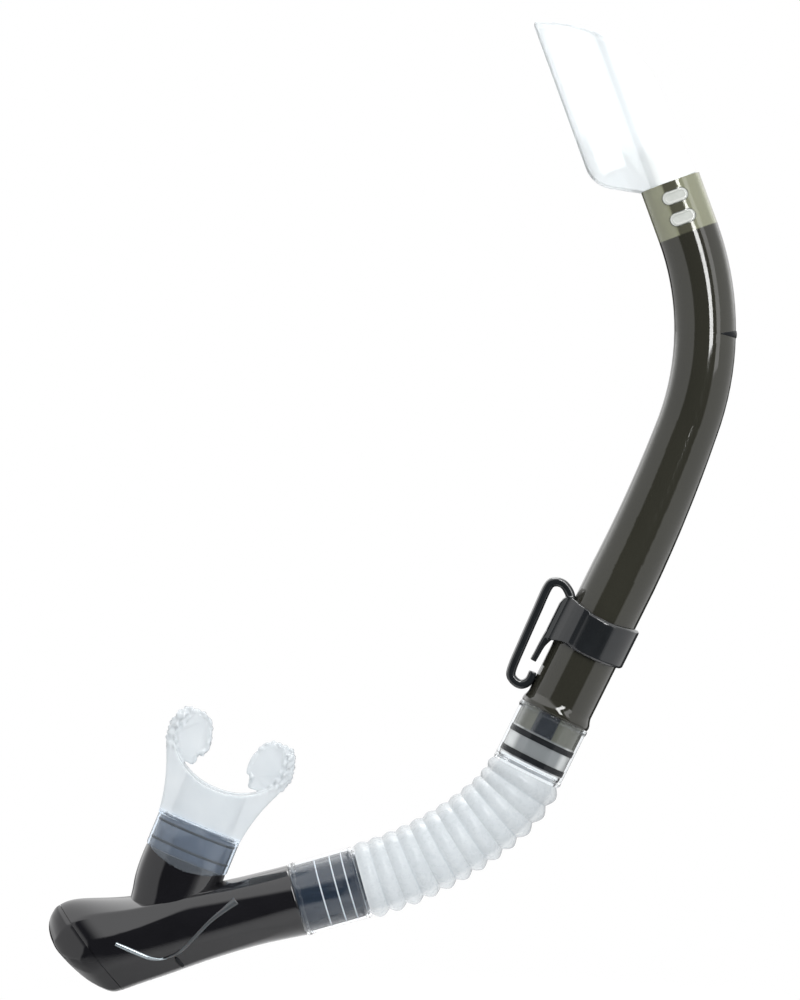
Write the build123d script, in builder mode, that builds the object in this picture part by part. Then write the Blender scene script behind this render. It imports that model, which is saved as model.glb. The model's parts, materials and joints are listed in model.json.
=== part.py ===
"""Dry-top snorkel: smoke barrel, clear float-valve top, strap keeper, corrugated hose, purge
chamber and mouthpiece.

Millimetres. The object is symmetric about the XZ plane: X runs to the right of the side view, Y into
its depth and Z up. The origin is the centre of the keeper's strap slot. An axis in the side view is
given by its lean, the angle in degrees by which its upward direction tips right of vertical.
"""
from build123d import *
import os
from math import cos, degrees, radians, sin

os.makedirs("parts", exist_ok=True)

# ---- Driving dimensions -------------------------------------------------------------------------

# Barrel
barrel_lean = 26.4          # lower, straight stretch
barrel_mid_lean = 20.0      # where the gentle bend becomes the main bend
barrel_top_lean = -20.0     # upper, straight stretch
barrel_radius = 15.0
barrel_straight = 68.0
gentle_bend_radius = 649.0
main_bend_radius = 124.7
barrel_top_straight = 23.0
barrel_top_half_width = 13.6
barrel_top_half_depth = 12.0
barrel_wall = 1.8

# Strap keeper
slot_offset = 24.2          # slot centre to barrel axis
slot_height = 28.4          # slot centre above the barrel's lower end
slot_length = 44.0
slot_width = 6.0
slot_tilt = 5.6
keeper_bar = 3.0
keeper_depth = 11.0
keeper_collar_radius = 17.2
keeper_collar_low = 2.0
keeper_collar_high = 18.8
keeper_gate_gap = 3.0
keeper_gate_tilt = -35.0
keeper_clearance = 0.08     # collar round the barrel

# Spigots, cuffs and their rings
spigot_radius = 14.0
upper_spigot_length = 24.0
lower_spigot_length = 28.6
spigot_bore = 11.8
cuff_inner_radius = 14.3
cuff_outer_radius = 16.3
upper_cuff_length = 28.1
lower_cuff_length = 29.7
ring_groove_radius = 12.7
ring_radius = 14.25
ring_width = 2.6
swivel_gap = 0.3

# Corrugated hose
hose_length = 88.4
hose_joints = 6
hose_knee_lean = 50.0       # lean at the end of the hose's first, tighter quarter
hose_foot_lean = 74.3       # lean of the purge chamber's axis
hose_crest_radius = 17.0
hose_valley_radius = 15.5
hose_bore_radius = 13.4

# Purge chamber, measured from the lower cuff's end along its axis
chamber_wall = 2.2
seam_distance = 91.8
seam_rise = 1.2
seam_lean_from_axis = 67.7
neck_distance = 66.6
neck_lean = 22.5
neck_length = 38.9
neck_half_width = 18.6
neck_half_depth = 13.6
neck_spigot_length = 16.0
neck_spigot_inset = 2.4

# Dry top, measured from the barrel's upper end
cap_wall = 1.6
cap_barrel_radius = 12.8
cap_barrel_offset = -0.8
chimney_radius = 8.8
chimney_bore = 7.4
chimney_offset = -1.0
chimney_top = 14.0
pivot_x = -12.5
pivot_z = 19.0
pin_radius = 1.0
valve_opening = 20.0        # degrees from open, at rest, to closed

fit_gap = 0.05
cut_past = 1.0              # how far a groove's or window's cut runs past the surface
side_reach = 30.0           # more than half the depth of the whole object


# ---- Frames along the side view -----------------------------------------------------------------

def up(lean):
    """Unit vector along an axis with this lean."""
    return Vector(sin(radians(lean)), 0, cos(radians(lean)))


def across(lean):
    """Unit vector in the side view, square to an axis with this lean, on its right."""
    return Vector(cos(radians(lean)), 0, -sin(radians(lean)))


def cross_plane(point, lean):
    """Plane square to the axis: x across it in the side view, y into the depth."""
    return Plane(origin=point, x_dir=across(lean), z_dir=up(lean))


def side_plane(point, lean):
    """Plane of the side view: x across the axis, y along it."""
    return Plane(origin=point, x_dir=across(lean), z_dir=(0, -1, 0))


def arc_point(start, start_lean, radius, lean):
    """Point at which a centreline arc through start reaches another lean."""
    return start + radius * (across(lean) - across(start_lean))


def bend_axis(point, lean, radius):
    """Axis, into the depth, about which a centreline arc through point turns."""
    return Axis(point - radius * across(lean), (0, 1, 0))


barrel_foot = slot_offset * across(barrel_lean) - slot_height * up(barrel_lean)
barrel_knee = barrel_foot + barrel_straight * up(barrel_lean)
barrel_shoulder = arc_point(barrel_knee, barrel_lean, gentle_bend_radius, barrel_mid_lean)
barrel_crown = arc_point(barrel_shoulder, barrel_mid_lean, main_bend_radius, barrel_top_lean)
barrel_top = barrel_crown + barrel_top_straight * up(barrel_top_lean)

hose_quarter = hose_length / 4
upper_hose_radius = hose_quarter / radians(hose_knee_lean - barrel_lean)
lower_hose_radius = (hose_length - hose_quarter) / radians(hose_foot_lean - hose_knee_lean)
hose_start = barrel_foot - upper_cuff_length * up(barrel_lean)
hose_knee = arc_point(hose_start, barrel_lean, upper_hose_radius, hose_knee_lean)
hose_end = arc_point(hose_knee, hose_knee_lean, lower_hose_radius, hose_foot_lean)
chamber_mouth = hose_end - lower_cuff_length * up(hose_foot_lean)


# ---- Barrel -------------------------------------------------------------------------------------

def barrel_skin(inset, mode):
    """Solid barrel envelope, drawn in from the outside by the inset."""
    low = barrel_radius - inset
    half_width = barrel_top_half_width - inset
    half_depth = barrel_top_half_depth - inset
    with BuildSketch(cross_plane(barrel_foot, barrel_lean)) as foot_section:
        Circle(low)
    extrude(foot_section.sketch, amount=barrel_straight, mode=mode)
    mid_lean = (barrel_lean + barrel_mid_lean) / 2
    barrel_middle = arc_point(barrel_knee, barrel_lean, gentle_bend_radius, mid_lean)
    with BuildSketch(cross_plane(barrel_knee, barrel_lean)) as knee_section:
        Ellipse(low, low)
    with BuildSketch(cross_plane(barrel_middle, mid_lean)) as middle_section:
        Ellipse((low + half_width) / 2, (low + half_depth) / 2)
    with BuildSketch(cross_plane(barrel_shoulder, barrel_mid_lean)) as shoulder_section:
        Ellipse(half_width, half_depth)
    loft([knee_section.sketch, middle_section.sketch, shoulder_section.sketch], mode=mode)
    with BuildSketch(cross_plane(barrel_shoulder, barrel_mid_lean)) as bend_section:
        Ellipse(half_width, half_depth)
    revolve(
        bend_section.sketch,
        axis=bend_axis(barrel_shoulder, barrel_mid_lean, main_bend_radius),
        revolution_arc=barrel_top_lean - barrel_mid_lean,
        mode=mode,
    )
    with BuildSketch(cross_plane(barrel_crown, barrel_top_lean)) as top_section:
        Ellipse(half_width, half_depth)
    extrude(top_section.sketch, amount=barrel_top_straight, mode=mode)


window_length = 11.9
window_width = 6.2
window_offset = -0.7
window_drops = [6.8, 16.7]
spigot_ring_drops = [12.5, 22.0]
bead_height = 2.6
bead_radius = 15.9
mark_length = 5.2
mark_width = 1.6
mark_depth = 0.5
mark_lean = 1.0

with BuildPart() as barrel_tube:
    barrel_skin(0, Mode.ADD)
    barrel_skin(barrel_wall, Mode.SUBTRACT)
    with BuildSketch(cross_plane(barrel_foot, barrel_lean)):
        Circle(bead_radius)
        Circle(barrel_radius - barrel_wall, mode=Mode.SUBTRACT)
    extrude(amount=bead_height)
    with BuildSketch(cross_plane(barrel_foot, barrel_lean)):
        Circle(spigot_radius)
    extrude(amount=-upper_spigot_length)
    for drop in spigot_ring_drops:
        with BuildSketch(cross_plane(barrel_foot - drop * up(barrel_lean), barrel_lean)):
            Circle(spigot_radius + cut_past)
            Circle(ring_groove_radius, mode=Mode.SUBTRACT)
        extrude(amount=ring_width / 2, both=True, mode=Mode.SUBTRACT)
    with BuildSketch(cross_plane(barrel_foot, barrel_lean)):
        Circle(spigot_bore)
    extrude(amount=bead_height, both=True, mode=Mode.SUBTRACT)
    with BuildSketch(cross_plane(barrel_foot, barrel_lean)):
        Circle(spigot_bore)
    extrude(amount=-upper_spigot_length, mode=Mode.SUBTRACT)
    with BuildSketch(side_plane(barrel_top, barrel_top_lean)):
        with Locations(*[(window_offset, -drop) for drop in window_drops]):
            SlotOverall(window_length, window_width)
    extrude(amount=barrel_top_half_depth + cut_past, both=True, mode=Mode.SUBTRACT)
    mark_point = arc_point(barrel_shoulder, barrel_mid_lean, main_bend_radius, mark_lean)
    with BuildSketch(cross_plane(mark_point, mark_lean)):
        with Locations((barrel_top_half_width, 0)):
            Rectangle(2 * mark_depth, mark_length)
    extrude(amount=mark_width / 2, both=True, mode=Mode.SUBTRACT)
barrel_tube.part.label = "barrel_tube"
export_step(barrel_tube.part, "parts/barrel_tube.step")


def ring_set(foot, lean, drops, width):
    """Sealing rings in a round spigot's grooves, one at each drop below its foot."""
    for drop in drops:
        with BuildSketch(cross_plane(foot - drop * up(lean), lean)) as ring_section:
            Circle(ring_radius)
            Circle(ring_groove_radius, mode=Mode.SUBTRACT)
        extrude(ring_section.sketch, amount=width / 2, both=True)


with BuildPart() as upper_seal_rings:
    ring_set(barrel_foot, barrel_lean, spigot_ring_drops, ring_width)
upper_seal_rings.part.label = "upper_seal_rings"
export_step(upper_seal_rings.part, "parts/upper_seal_rings.step")


# ---- Strap keeper -------------------------------------------------------------------------------

keeper_plane = side_plane(Vector(0, 0, 0), barrel_lean)
collar_foot = slot_offset * across(barrel_lean) + keeper_collar_low * up(barrel_lean)
collar_height = keeper_collar_high - keeper_collar_low
web_top = 22.0
gate_height = -13.2

with BuildPart() as strap_keeper:
    with BuildSketch(keeper_plane):
        SlotOverall(slot_length + 2 * keeper_bar, slot_width + 2 * keeper_bar, rotation=90 + slot_tilt)
        with Locations(((slot_width + slot_offset - barrel_radius) / 2, (web_top + keeper_collar_low) / 2)):
            Rectangle(slot_offset - barrel_radius, web_top - keeper_collar_low)
        SlotOverall(slot_length, slot_width, rotation=90 + slot_tilt, mode=Mode.SUBTRACT)
        with Locations((slot_width, gate_height)):
            Rectangle(
                2 * (keeper_bar + cut_past),
                keeper_gate_gap,
                rotation=keeper_gate_tilt,
                mode=Mode.SUBTRACT,
            )
    extrude(amount=keeper_depth / 2, both=True)
    with BuildSketch(cross_plane(collar_foot, barrel_lean)):
        Circle(keeper_collar_radius)
    extrude(amount=collar_height)
    with BuildSketch(cross_plane(collar_foot, barrel_lean)):
        Circle(barrel_radius + keeper_clearance)
    extrude(amount=2 * collar_height, both=True, mode=Mode.SUBTRACT)
strap_keeper.part.label = "strap_keeper"
export_step(strap_keeper.part, "parts/strap_keeper.step")


# ---- Dry top ------------------------------------------------------------------------------------

cap_plane = side_plane(barrel_top, barrel_top_lean)
cap_section = cross_plane(barrel_top, barrel_top_lean)
cap_left = -32.4
cap_right = 12.0
cap_tip = 86.5
cap_foot_corner = 14.0
cap_fin_half_depth = 10.0
cap_fin_edge_half_depth = 7.6
cap_mouth_high = 14.0       # top of the opening that takes the stem
cap_mouth_low = -2.0
cap_mouth_taper = 0.4
stem_length = 22.4
stem_wall = 1.5
flange_radius = cap_barrel_radius - cap_wall - 0.1
flange_height = 3.0
ear_inner = 4.6
ear_thickness = 1.8
ear_radius = 2.6
boss_gap = 0.25
boss_sunk = 0.6


def cap_side_view():
    """Side view of the dry top: slanted open foot, upright left edge, rounded crown."""
    with BuildSketch(cap_plane) as view:
        with BuildLine():
            Polyline((cap_right, 0), (-13.2, 0), (cap_left, 10.4), (cap_left, cap_tip))
            ThreePointArc((cap_left, cap_tip), (-16.0, 79.0), (-6.4, 70.6))
            ThreePointArc((-6.4, 70.6), (5.0, 56.5), (9.4, 34.0))
            Line((9.4, 34.0), (cap_right, 0))
        make_face()
        left_corners = view.vertices().group_by(Axis.X)[0]
        fillet(left_corners.sort_by(Axis.Y)[0], cap_foot_corner)
    return view.sketch


def cap_plan_view(inset):
    """View down the dry top's axis: a round float chamber with a flat-sided fin on its left."""
    with BuildSketch(cap_section) as view:
        with Locations((cap_barrel_offset, 0)):
            Circle(cap_barrel_radius)
        Polygon(
            (0, -cap_fin_half_depth),
            (cap_left, -cap_fin_edge_half_depth),
            (cap_left, cap_fin_edge_half_depth),
            (0, cap_fin_half_depth),
            align=None,
        )
        if inset:
            offset(amount=-inset)
    return view.sketch


with BuildPart() as dry_top_hollow:
    with BuildSketch(cap_plane):
        add(cap_plane.to_local_coords(cap_side_view()))
        offset(amount=-cap_wall)
    extrude(amount=side_reach, both=True)
    with BuildSketch(cap_plane):
        Polygon(
            (cap_left + cap_wall, cap_mouth_high),
            (cap_left + cap_wall, cap_mouth_low),
            (cap_right - cap_wall, cap_mouth_low),
            (cap_right - cap_wall - cap_mouth_taper, cap_mouth_high),
            align=None,
        )
    extrude(amount=side_reach, both=True)
    extrude(cap_plan_view(cap_wall), amount=cap_tip, both=True, mode=Mode.INTERSECT)

with BuildPart() as dry_top_housing:
    extrude(cap_side_view(), amount=side_reach, both=True)
    extrude(cap_plan_view(0), amount=cap_tip, both=True, mode=Mode.INTERSECT)
    add(dry_top_hollow.part, mode=Mode.SUBTRACT)
dry_top_housing.part.label = "dry_top_housing"
export_step(dry_top_housing.part, "parts/dry_top_housing.step")

with BuildPart() as valve_seat_stem:
    with BuildSketch(cap_section):
        Ellipse(
            barrel_top_half_width - barrel_wall - fit_gap,
            barrel_top_half_depth - barrel_wall - fit_gap,
        )
    extrude(amount=-stem_length)
    with BuildSketch(cap_plane):
        with Locations(*[(window_offset, -drop) for drop in window_drops]):
            SlotOverall(window_length - 2 * boss_gap, window_width - 2 * boss_gap)
    extrude(amount=barrel_top_half_depth - boss_sunk, both=True)
    with BuildSketch(cap_section):
        with Locations((cap_barrel_offset, 0)):
            Circle(flange_radius)
    extrude(amount=flange_height)
    with BuildSketch(cap_section):
        with Locations((chimney_offset, 0)):
            Circle(chimney_radius)
    extrude(amount=chimney_top)
    with BuildSketch(cap_plane.offset(ear_inner)):
        with Locations((pivot_x, pivot_z)):
            Circle(ear_radius)
        Polygon(
            (pivot_x + ear_radius, pivot_z),
            (pivot_x - ear_radius, pivot_z),
            (chimney_offset - chimney_radius, flange_height),
            (chimney_offset, flange_height),
            (chimney_offset, chimney_top - 2),
            (pivot_x + ear_radius, chimney_top - 1),
            align=None,
        )
        with Locations((pivot_x, pivot_z)):
            Circle(pin_radius, mode=Mode.SUBTRACT)
    extrude(amount=ear_thickness)
    mirror(about=Plane.XZ)
    with BuildSketch(cap_section):
        with Locations((chimney_offset, 0)):
            Circle(chimney_bore)
    extrude(amount=chimney_top, mode=Mode.SUBTRACT)
    with BuildSketch(cap_section):
        Ellipse(
            barrel_top_half_width - barrel_wall - stem_wall,
            barrel_top_half_depth - barrel_wall - stem_wall,
        )
    extrude(amount=-stem_length, mode=Mode.SUBTRACT)
valve_seat_stem.part.label = "valve_seat_stem"
export_step(valve_seat_stem.part, "parts/valve_seat_stem.step")

pivot = barrel_top + pivot_x * across(barrel_top_lean) + pivot_z * up(barrel_top_lean)
lever_plane = side_plane(pivot, barrel_top_lean - valve_opening)
pad_plane = cross_plane(pivot, barrel_top_lean - valve_opening)
pad_reach = chimney_offset - pivot_x
seal_radius = 8.4
seal_thickness = 2.0
seal_low = chimney_top - pivot_z + 0.1
plate_thickness = 1.4
plate_radius = 8.0
lever_half_depth = 4.4
lever_boss_radius = 2.4
arm_half_depth = 3.4
arm_height = 3.0
peg_radius = 1.2
peg_length = 3.8
float_left = -16.0
float_right = -3.0
float_low = -6.5
float_high = 14.0
float_half_depth = 5.7
float_corner = 2.5
float_edge = 1.5

with BuildPart() as lever_pivot_pin:
    with BuildSketch(side_plane(pivot, barrel_top_lean)):
        Circle(pin_radius)
    extrude(amount=ear_inner + ear_thickness, both=True)
lever_pivot_pin.part.label = "lever_pivot_pin"
export_step(lever_pivot_pin.part, "parts/lever_pivot_pin.step")

with BuildPart() as float_lever:
    with BuildSketch(lever_plane):
        Circle(lever_boss_radius)
        with Locations((pad_reach / 2, seal_low + seal_thickness + plate_thickness)):
            Rectangle(pad_reach, 2 * plate_thickness)
    extrude(amount=arm_half_depth, both=True)
    with BuildSketch(side_plane(pivot, barrel_top_lean)):
        with Locations((float_right / 2, 0)):
            Rectangle(-float_right, arm_height)
    extrude(amount=arm_half_depth, both=True)
    with BuildSketch(lever_plane):
        Circle(lever_boss_radius)
    extrude(amount=lever_half_depth, both=True)
    with BuildSketch(pad_plane.offset(seal_low + seal_thickness)):
        with Locations((pad_reach, 0)):
            Circle(plate_radius)
    extrude(amount=plate_thickness)
    with BuildSketch(pad_plane.offset(seal_low + seal_thickness)):
        with Locations((pad_reach, 0)):
            Circle(peg_radius + fit_gap)
    extrude(amount=3 * plate_thickness, mode=Mode.SUBTRACT)
    with BuildSketch(lever_plane):
        Circle(pin_radius + fit_gap)
    extrude(amount=lever_half_depth, both=True, mode=Mode.SUBTRACT)
float_lever.part.label = "float_lever"
export_step(float_lever.part, "parts/float_lever.step")

with BuildPart() as valve_seal:
    with BuildSketch(pad_plane.offset(seal_low)):
        with Locations((pad_reach, 0)):
            Circle(seal_radius)
    extrude(amount=seal_thickness)
    with BuildSketch(pad_plane.offset(seal_low + seal_thickness)):
        with Locations((pad_reach, 0)):
            Circle(peg_radius)
    extrude(amount=peg_length)
valve_seal.part.label = "valve_seal"
export_step(valve_seal.part, "parts/valve_seal.step")

with BuildPart() as float_body:
    with BuildSketch(side_plane(pivot, barrel_top_lean)):
        with Locations(((float_left + float_right) / 2, (float_low + float_high) / 2)):
            RectangleRounded(float_right - float_left, float_high - float_low, float_corner)
    extrude(amount=float_half_depth, both=True)
    fillet(float_body.edges().filter_by(Plane.XZ), float_edge)
float_body.part.label = "float_body"
export_step(float_body.part, "parts/float_body.step")


# ---- Corrugated hose ----------------------------------------------------------------------------

crest_pitch = hose_length / (2 * hose_joints)
crest_width = 0.5 * crest_pitch


def hose_frame(distance):
    """Centreline point, lean and bend radius at a distance down the hose."""
    if distance < hose_quarter:
        lean = barrel_lean + (hose_knee_lean - barrel_lean) * distance / hose_quarter
        return arc_point(hose_start, barrel_lean, upper_hose_radius, lean), lean, upper_hose_radius
    share = (distance - hose_quarter) / (hose_length - hose_quarter)
    lean = hose_knee_lean + (hose_foot_lean - hose_knee_lean) * share
    return arc_point(hose_knee, hose_knee_lean, lower_hose_radius, lean), lean, lower_hose_radius


def hose_stretch(start, end, radius):
    """Ring-shaped length of hose of this outer radius, bent along the centreline."""
    middle_radius = hose_frame((start + end) / 2)[2]
    point, lean, _ = hose_frame(start)
    turn = (end - start) / middle_radius
    with BuildSketch(cross_plane(point, lean)) as section:
        Circle(radius)
        Circle(hose_bore_radius, mode=Mode.SUBTRACT)
    revolve(
        section.sketch,
        axis=bend_axis(point, lean, middle_radius),
        revolution_arc=degrees(turn),
    )


def corrugations(start, end):
    """Hose wall from start to end with its crests."""
    hose_stretch(start, end, hose_valley_radius)
    for index in range(2 * hose_joints):
        crest = (index + 0.5) * crest_pitch
        if start < crest < end:
            hose_stretch(crest - crest_width / 2, crest + crest_width / 2, hose_crest_radius)


def cuff(foot, lean, length, socket_depth, outwards):
    """Smooth cuff over a spigot, from the spigot's shoulder to the hose."""
    with BuildSketch(cross_plane(foot, lean)) as sleeve_section:
        Circle(cuff_outer_radius)
        Circle(hose_bore_radius, mode=Mode.SUBTRACT)
    extrude(sleeve_section.sketch, amount=outwards * length)
    with BuildSketch(cross_plane(foot, lean)) as socket_section:
        Circle(cuff_inner_radius)
    extrude(socket_section.sketch, amount=outwards * socket_depth, mode=Mode.SUBTRACT)
    with BuildSketch(cross_plane(foot, lean)) as gap_section:
        Circle(cuff_outer_radius + cut_past)
    extrude(gap_section.sketch, amount=outwards * swivel_gap, mode=Mode.SUBTRACT)


with BuildPart() as hose_upper_cuff:
    cuff(barrel_foot, barrel_lean, upper_cuff_length, upper_spigot_length + swivel_gap, -1)
    corrugations(0, crest_pitch)
hose_upper_cuff.part.label = "hose_upper_cuff"
export_step(hose_upper_cuff.part, "parts/hose_upper_cuff.step")

for number in range(1, hose_joints):
    with BuildPart() as hose_section:
        corrugations((2 * number - 1) * crest_pitch, (2 * number + 1) * crest_pitch)
    hose_section.part.label = f"hose_section_{number}"
    export_step(hose_section.part, f"parts/hose_section_{number}.step")

with BuildPart() as hose_lower_cuff:
    cuff(chamber_mouth, hose_foot_lean, lower_cuff_length, lower_spigot_length + swivel_gap, 1)
    corrugations(hose_length - crest_pitch, hose_length)
hose_lower_cuff.part.label = "hose_lower_cuff"
export_step(hose_lower_cuff.part, "parts/hose_lower_cuff.step")


# ---- Purge chamber ------------------------------------------------------------------------------

chamber_ring_drops = [11.4, 18.2, 23.4]
chamber_ring_width = 1.2


def chamber_point(distance, rise):
    """Point at a distance beyond the cuff along the chamber's axis, and a rise above it."""
    return chamber_mouth - distance * up(hose_foot_lean) - rise * across(hose_foot_lean)


def chamber_plane(distance, rise):
    """Plane square to the chamber's axis: x up, y into the depth, z away from the hose."""
    return Plane(
        origin=chamber_point(distance, rise),
        x_dir=-across(hose_foot_lean),
        z_dir=-up(hose_foot_lean),
    )


def chamber_solid(inset, first=0.0):
    """Tapering chamber envelope from the hose end to beyond its slanted seam."""
    sections = []
    for distance, rise, half_height, half_depth in (
        (first, 0.1, 16.0, 15.6),
        (24.0, 1.1, 15.6, 15.6),
        (64.0, 1.9, 18.2, 16.8),
        (112.0, 3.4, 22.4, 18.0),
    ):
        with BuildSketch(chamber_plane(distance, rise)) as section:
            Ellipse(half_height - inset, half_depth - inset)
        sections.append(section.sketch)
    return loft(sections, mode=Mode.PRIVATE)


seam_lean = hose_foot_lean - 180 + seam_lean_from_axis
seam_plane = Plane(
    origin=chamber_point(seam_distance, seam_rise),
    x_dir=up(seam_lean),
    z_dir=-across(seam_lean),
)
chamber_side = Plane(origin=chamber_mouth, x_dir=-up(hose_foot_lean), z_dir=(0, 1, 0))
neck_foot = chamber_point(neck_distance, 0)
mouth_foot = neck_foot + neck_length * up(neck_lean)
neck_start = 4.0
neck_bore_inset = 5.0
neck_ring_drops = [4.0, 12.4]
neck_ring_width = 2.0
neck_ring_depth = 1.2
accent_width = 2.2
accent_proud = 0.5
accent_sunk = 0.8
accent_corner = 5.0


def accent_stroke():
    """Plain V-shaped stroke of the accent rib, in the side view."""
    with BuildSketch(chamber_side) as stroke:
        with BuildLine() as route:
            FilletPolyline((81.5, 4.0), (61.5, -10.8), (25.6, 8.3), radius=accent_corner)
        trace(route.line, line_width=accent_width)
    return stroke.sketch


with BuildPart() as accent_ribs:
    extrude(accent_stroke(), amount=side_reach, both=True)
    add(chamber_solid(-accent_proud), mode=Mode.INTERSECT)
    add(chamber_solid(accent_sunk), mode=Mode.SUBTRACT)
accent_ribs.part.label = "accent_ribs"
export_step(accent_ribs.part, "parts/accent_ribs.step")

with BuildPart() as purge_housing:
    add(chamber_solid(0))
    split(bisect_by=seam_plane, keep=Keep.BOTTOM)
    with BuildSketch(cross_plane(neck_foot + neck_start * up(neck_lean), neck_lean)):
        Ellipse(neck_half_width, neck_half_depth)
    extrude(amount=neck_length - neck_start)
    with BuildSketch(cross_plane(mouth_foot, neck_lean)):
        Ellipse(neck_half_width - neck_spigot_inset, neck_half_depth - neck_spigot_inset)
    extrude(amount=neck_spigot_length)
    for drop in neck_ring_drops:
        with BuildSketch(cross_plane(mouth_foot + drop * up(neck_lean), neck_lean)):
            Ellipse(neck_half_width, neck_half_depth)
            Ellipse(
                neck_half_width - neck_spigot_inset - neck_ring_depth,
                neck_half_depth - neck_spigot_inset - neck_ring_depth,
                mode=Mode.SUBTRACT,
            )
        extrude(amount=neck_ring_width / 2, both=True, mode=Mode.SUBTRACT)
    with BuildSketch(cross_plane(chamber_mouth, hose_foot_lean)):
        Circle(spigot_radius)
    extrude(amount=lower_spigot_length)
    for drop in chamber_ring_drops:
        with BuildSketch(cross_plane(chamber_mouth + drop * up(hose_foot_lean), hose_foot_lean)):
            Circle(spigot_radius + cut_past)
            Circle(ring_groove_radius, mode=Mode.SUBTRACT)
        extrude(amount=chamber_ring_width / 2, both=True, mode=Mode.SUBTRACT)
    add(chamber_solid(chamber_wall, chamber_wall), mode=Mode.SUBTRACT)
    with BuildSketch(cross_plane(chamber_mouth, hose_foot_lean)):
        Circle(spigot_bore)
    extrude(amount=lower_spigot_length, both=True, mode=Mode.SUBTRACT)
    with BuildSketch(cross_plane(neck_foot, neck_lean)):
        Ellipse(neck_half_width - neck_bore_inset, neck_half_depth - neck_bore_inset)
    extrude(amount=neck_length + neck_spigot_length, mode=Mode.SUBTRACT)
    add(accent_ribs.part, mode=Mode.SUBTRACT)
purge_housing.part.label = "purge_housing"
export_step(purge_housing.part, "parts/purge_housing.step")

with BuildPart() as lower_seal_rings:
    ring_set(chamber_mouth, hose_foot_lean, [-drop for drop in chamber_ring_drops], chamber_ring_width)
lower_seal_rings.part.label = "lower_seal_rings"
export_step(lower_seal_rings.part, "parts/lower_seal_rings.step")

with BuildPart() as mouthpiece_spigot_rings:
    for drop in neck_ring_drops:
        with BuildSketch(cross_plane(mouth_foot + drop * up(neck_lean), neck_lean)):
            Ellipse(neck_half_width - neck_spigot_inset, neck_half_depth - neck_spigot_inset)
            Ellipse(
                neck_half_width - neck_spigot_inset - neck_ring_depth,
                neck_half_depth - neck_spigot_inset - neck_ring_depth,
                mode=Mode.SUBTRACT,
            )
        extrude(amount=neck_ring_width / 2, both=True)
mouthpiece_spigot_rings.part.label = "mouthpiece_spigot_rings"
export_step(mouthpiece_spigot_rings.part, "parts/mouthpiece_spigot_rings.step")


# ---- Purge valve and its cover ------------------------------------------------------------------

seat_thickness = 2.4
seat_window_radius = 3.2
seat_window_circle = 8.2
stem_hole_radius = 1.6
diaphragm_radius = 12.6
diaphragm_thickness = 1.0
diaphragm_lift = 1.2
stem_radius = 1.5
stem_head_radius = 2.4
stem_head_thickness = 0.8
exhaust_length = 20.0
exhaust_width = 2.6
exhaust_pitch = 5.6
exhaust_count = 4
seat_window_count = 6
stem_end_play = 0.2


def cover_profile():
    """Side view of the end cover's rounded, slanted nose."""
    with BuildSketch(chamber_side) as view:
        with BuildLine():
            Line((80, -32), (88, -17.8))
            ThreePointArc((88, -17.8), (100.2, -5.6), (108.8, 11.5))
            ThreePointArc((108.8, 11.5), (108.2, 18.6), (103, 23))
            Polyline((103, 23), (96, 27), (80, 32), (80, -32))
        make_face()
    return view.sketch


with BuildPart() as cover_hollow:
    add(chamber_solid(chamber_wall))
    with BuildSketch(chamber_side):
        add(chamber_side.to_local_coords(cover_profile()))
        offset(amount=-chamber_wall)
    extrude(amount=side_reach, both=True, mode=Mode.INTERSECT)

with BuildPart() as purge_cover:
    add(chamber_solid(0))
    split(bisect_by=seam_plane, keep=Keep.TOP)
    extrude(cover_profile(), amount=side_reach, both=True, mode=Mode.INTERSECT)
    add(cover_hollow.part, mode=Mode.SUBTRACT)
    with BuildSketch(seam_plane.offset(seat_thickness)):
        with GridLocations(exhaust_pitch, 0, exhaust_count, 1):
            SlotOverall(exhaust_length, exhaust_width, rotation=90)
    extrude(amount=side_reach, mode=Mode.SUBTRACT)
purge_cover.part.label = "purge_cover"
export_step(purge_cover.part, "parts/purge_cover.step")

with BuildPart() as purge_valve_seat:
    add(chamber_solid(chamber_wall, chamber_wall))
    with BuildSketch(seam_plane):
        Circle(side_reach)
    extrude(amount=-seat_thickness, mode=Mode.INTERSECT)
    with BuildSketch(seam_plane):
        with PolarLocations(seat_window_circle, seat_window_count):
            Circle(seat_window_radius)
        Circle(stem_hole_radius)
    extrude(amount=-seat_thickness, mode=Mode.SUBTRACT)
purge_valve_seat.part.label = "purge_valve_seat"
export_step(purge_valve_seat.part, "parts/purge_valve_seat.step")

stem_head_depth = seat_thickness + diaphragm_lift + stem_end_play

with BuildPart() as purge_diaphragm:
    with BuildSketch(seam_plane.offset(fit_gap)):
        Circle(diaphragm_radius)
    extrude(amount=diaphragm_thickness)
    with BuildSketch(seam_plane.offset(fit_gap)):
        Circle(stem_radius)
    extrude(amount=-stem_head_depth - stem_head_thickness)
    with BuildSketch(seam_plane.offset(fit_gap - stem_head_depth)):
        Circle(stem_head_radius)
    extrude(amount=-stem_head_thickness)
purge_diaphragm.part.label = "purge_diaphragm"
export_step(purge_diaphragm.part, "parts/purge_diaphragm.step")


# ---- Mouthpiece ---------------------------------------------------------------------------------

mouth_side = side_plane(mouth_foot, neck_lean)
mouth_section = cross_plane(mouth_foot, neck_lean)
mouth_cuff_half_width = 19.0
mouth_cuff_half_depth = 14.0
mouth_cuff_height = 18.0
mouth_reach = 100.0
shield_half_width = 29.4
shield_half_depth = 15.0
airway_half_width = 14.0
airway_half_depth = 8.5
airway_length = 45.0
shield_foot = 15.0
bite_half_depth = 4.6


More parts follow.
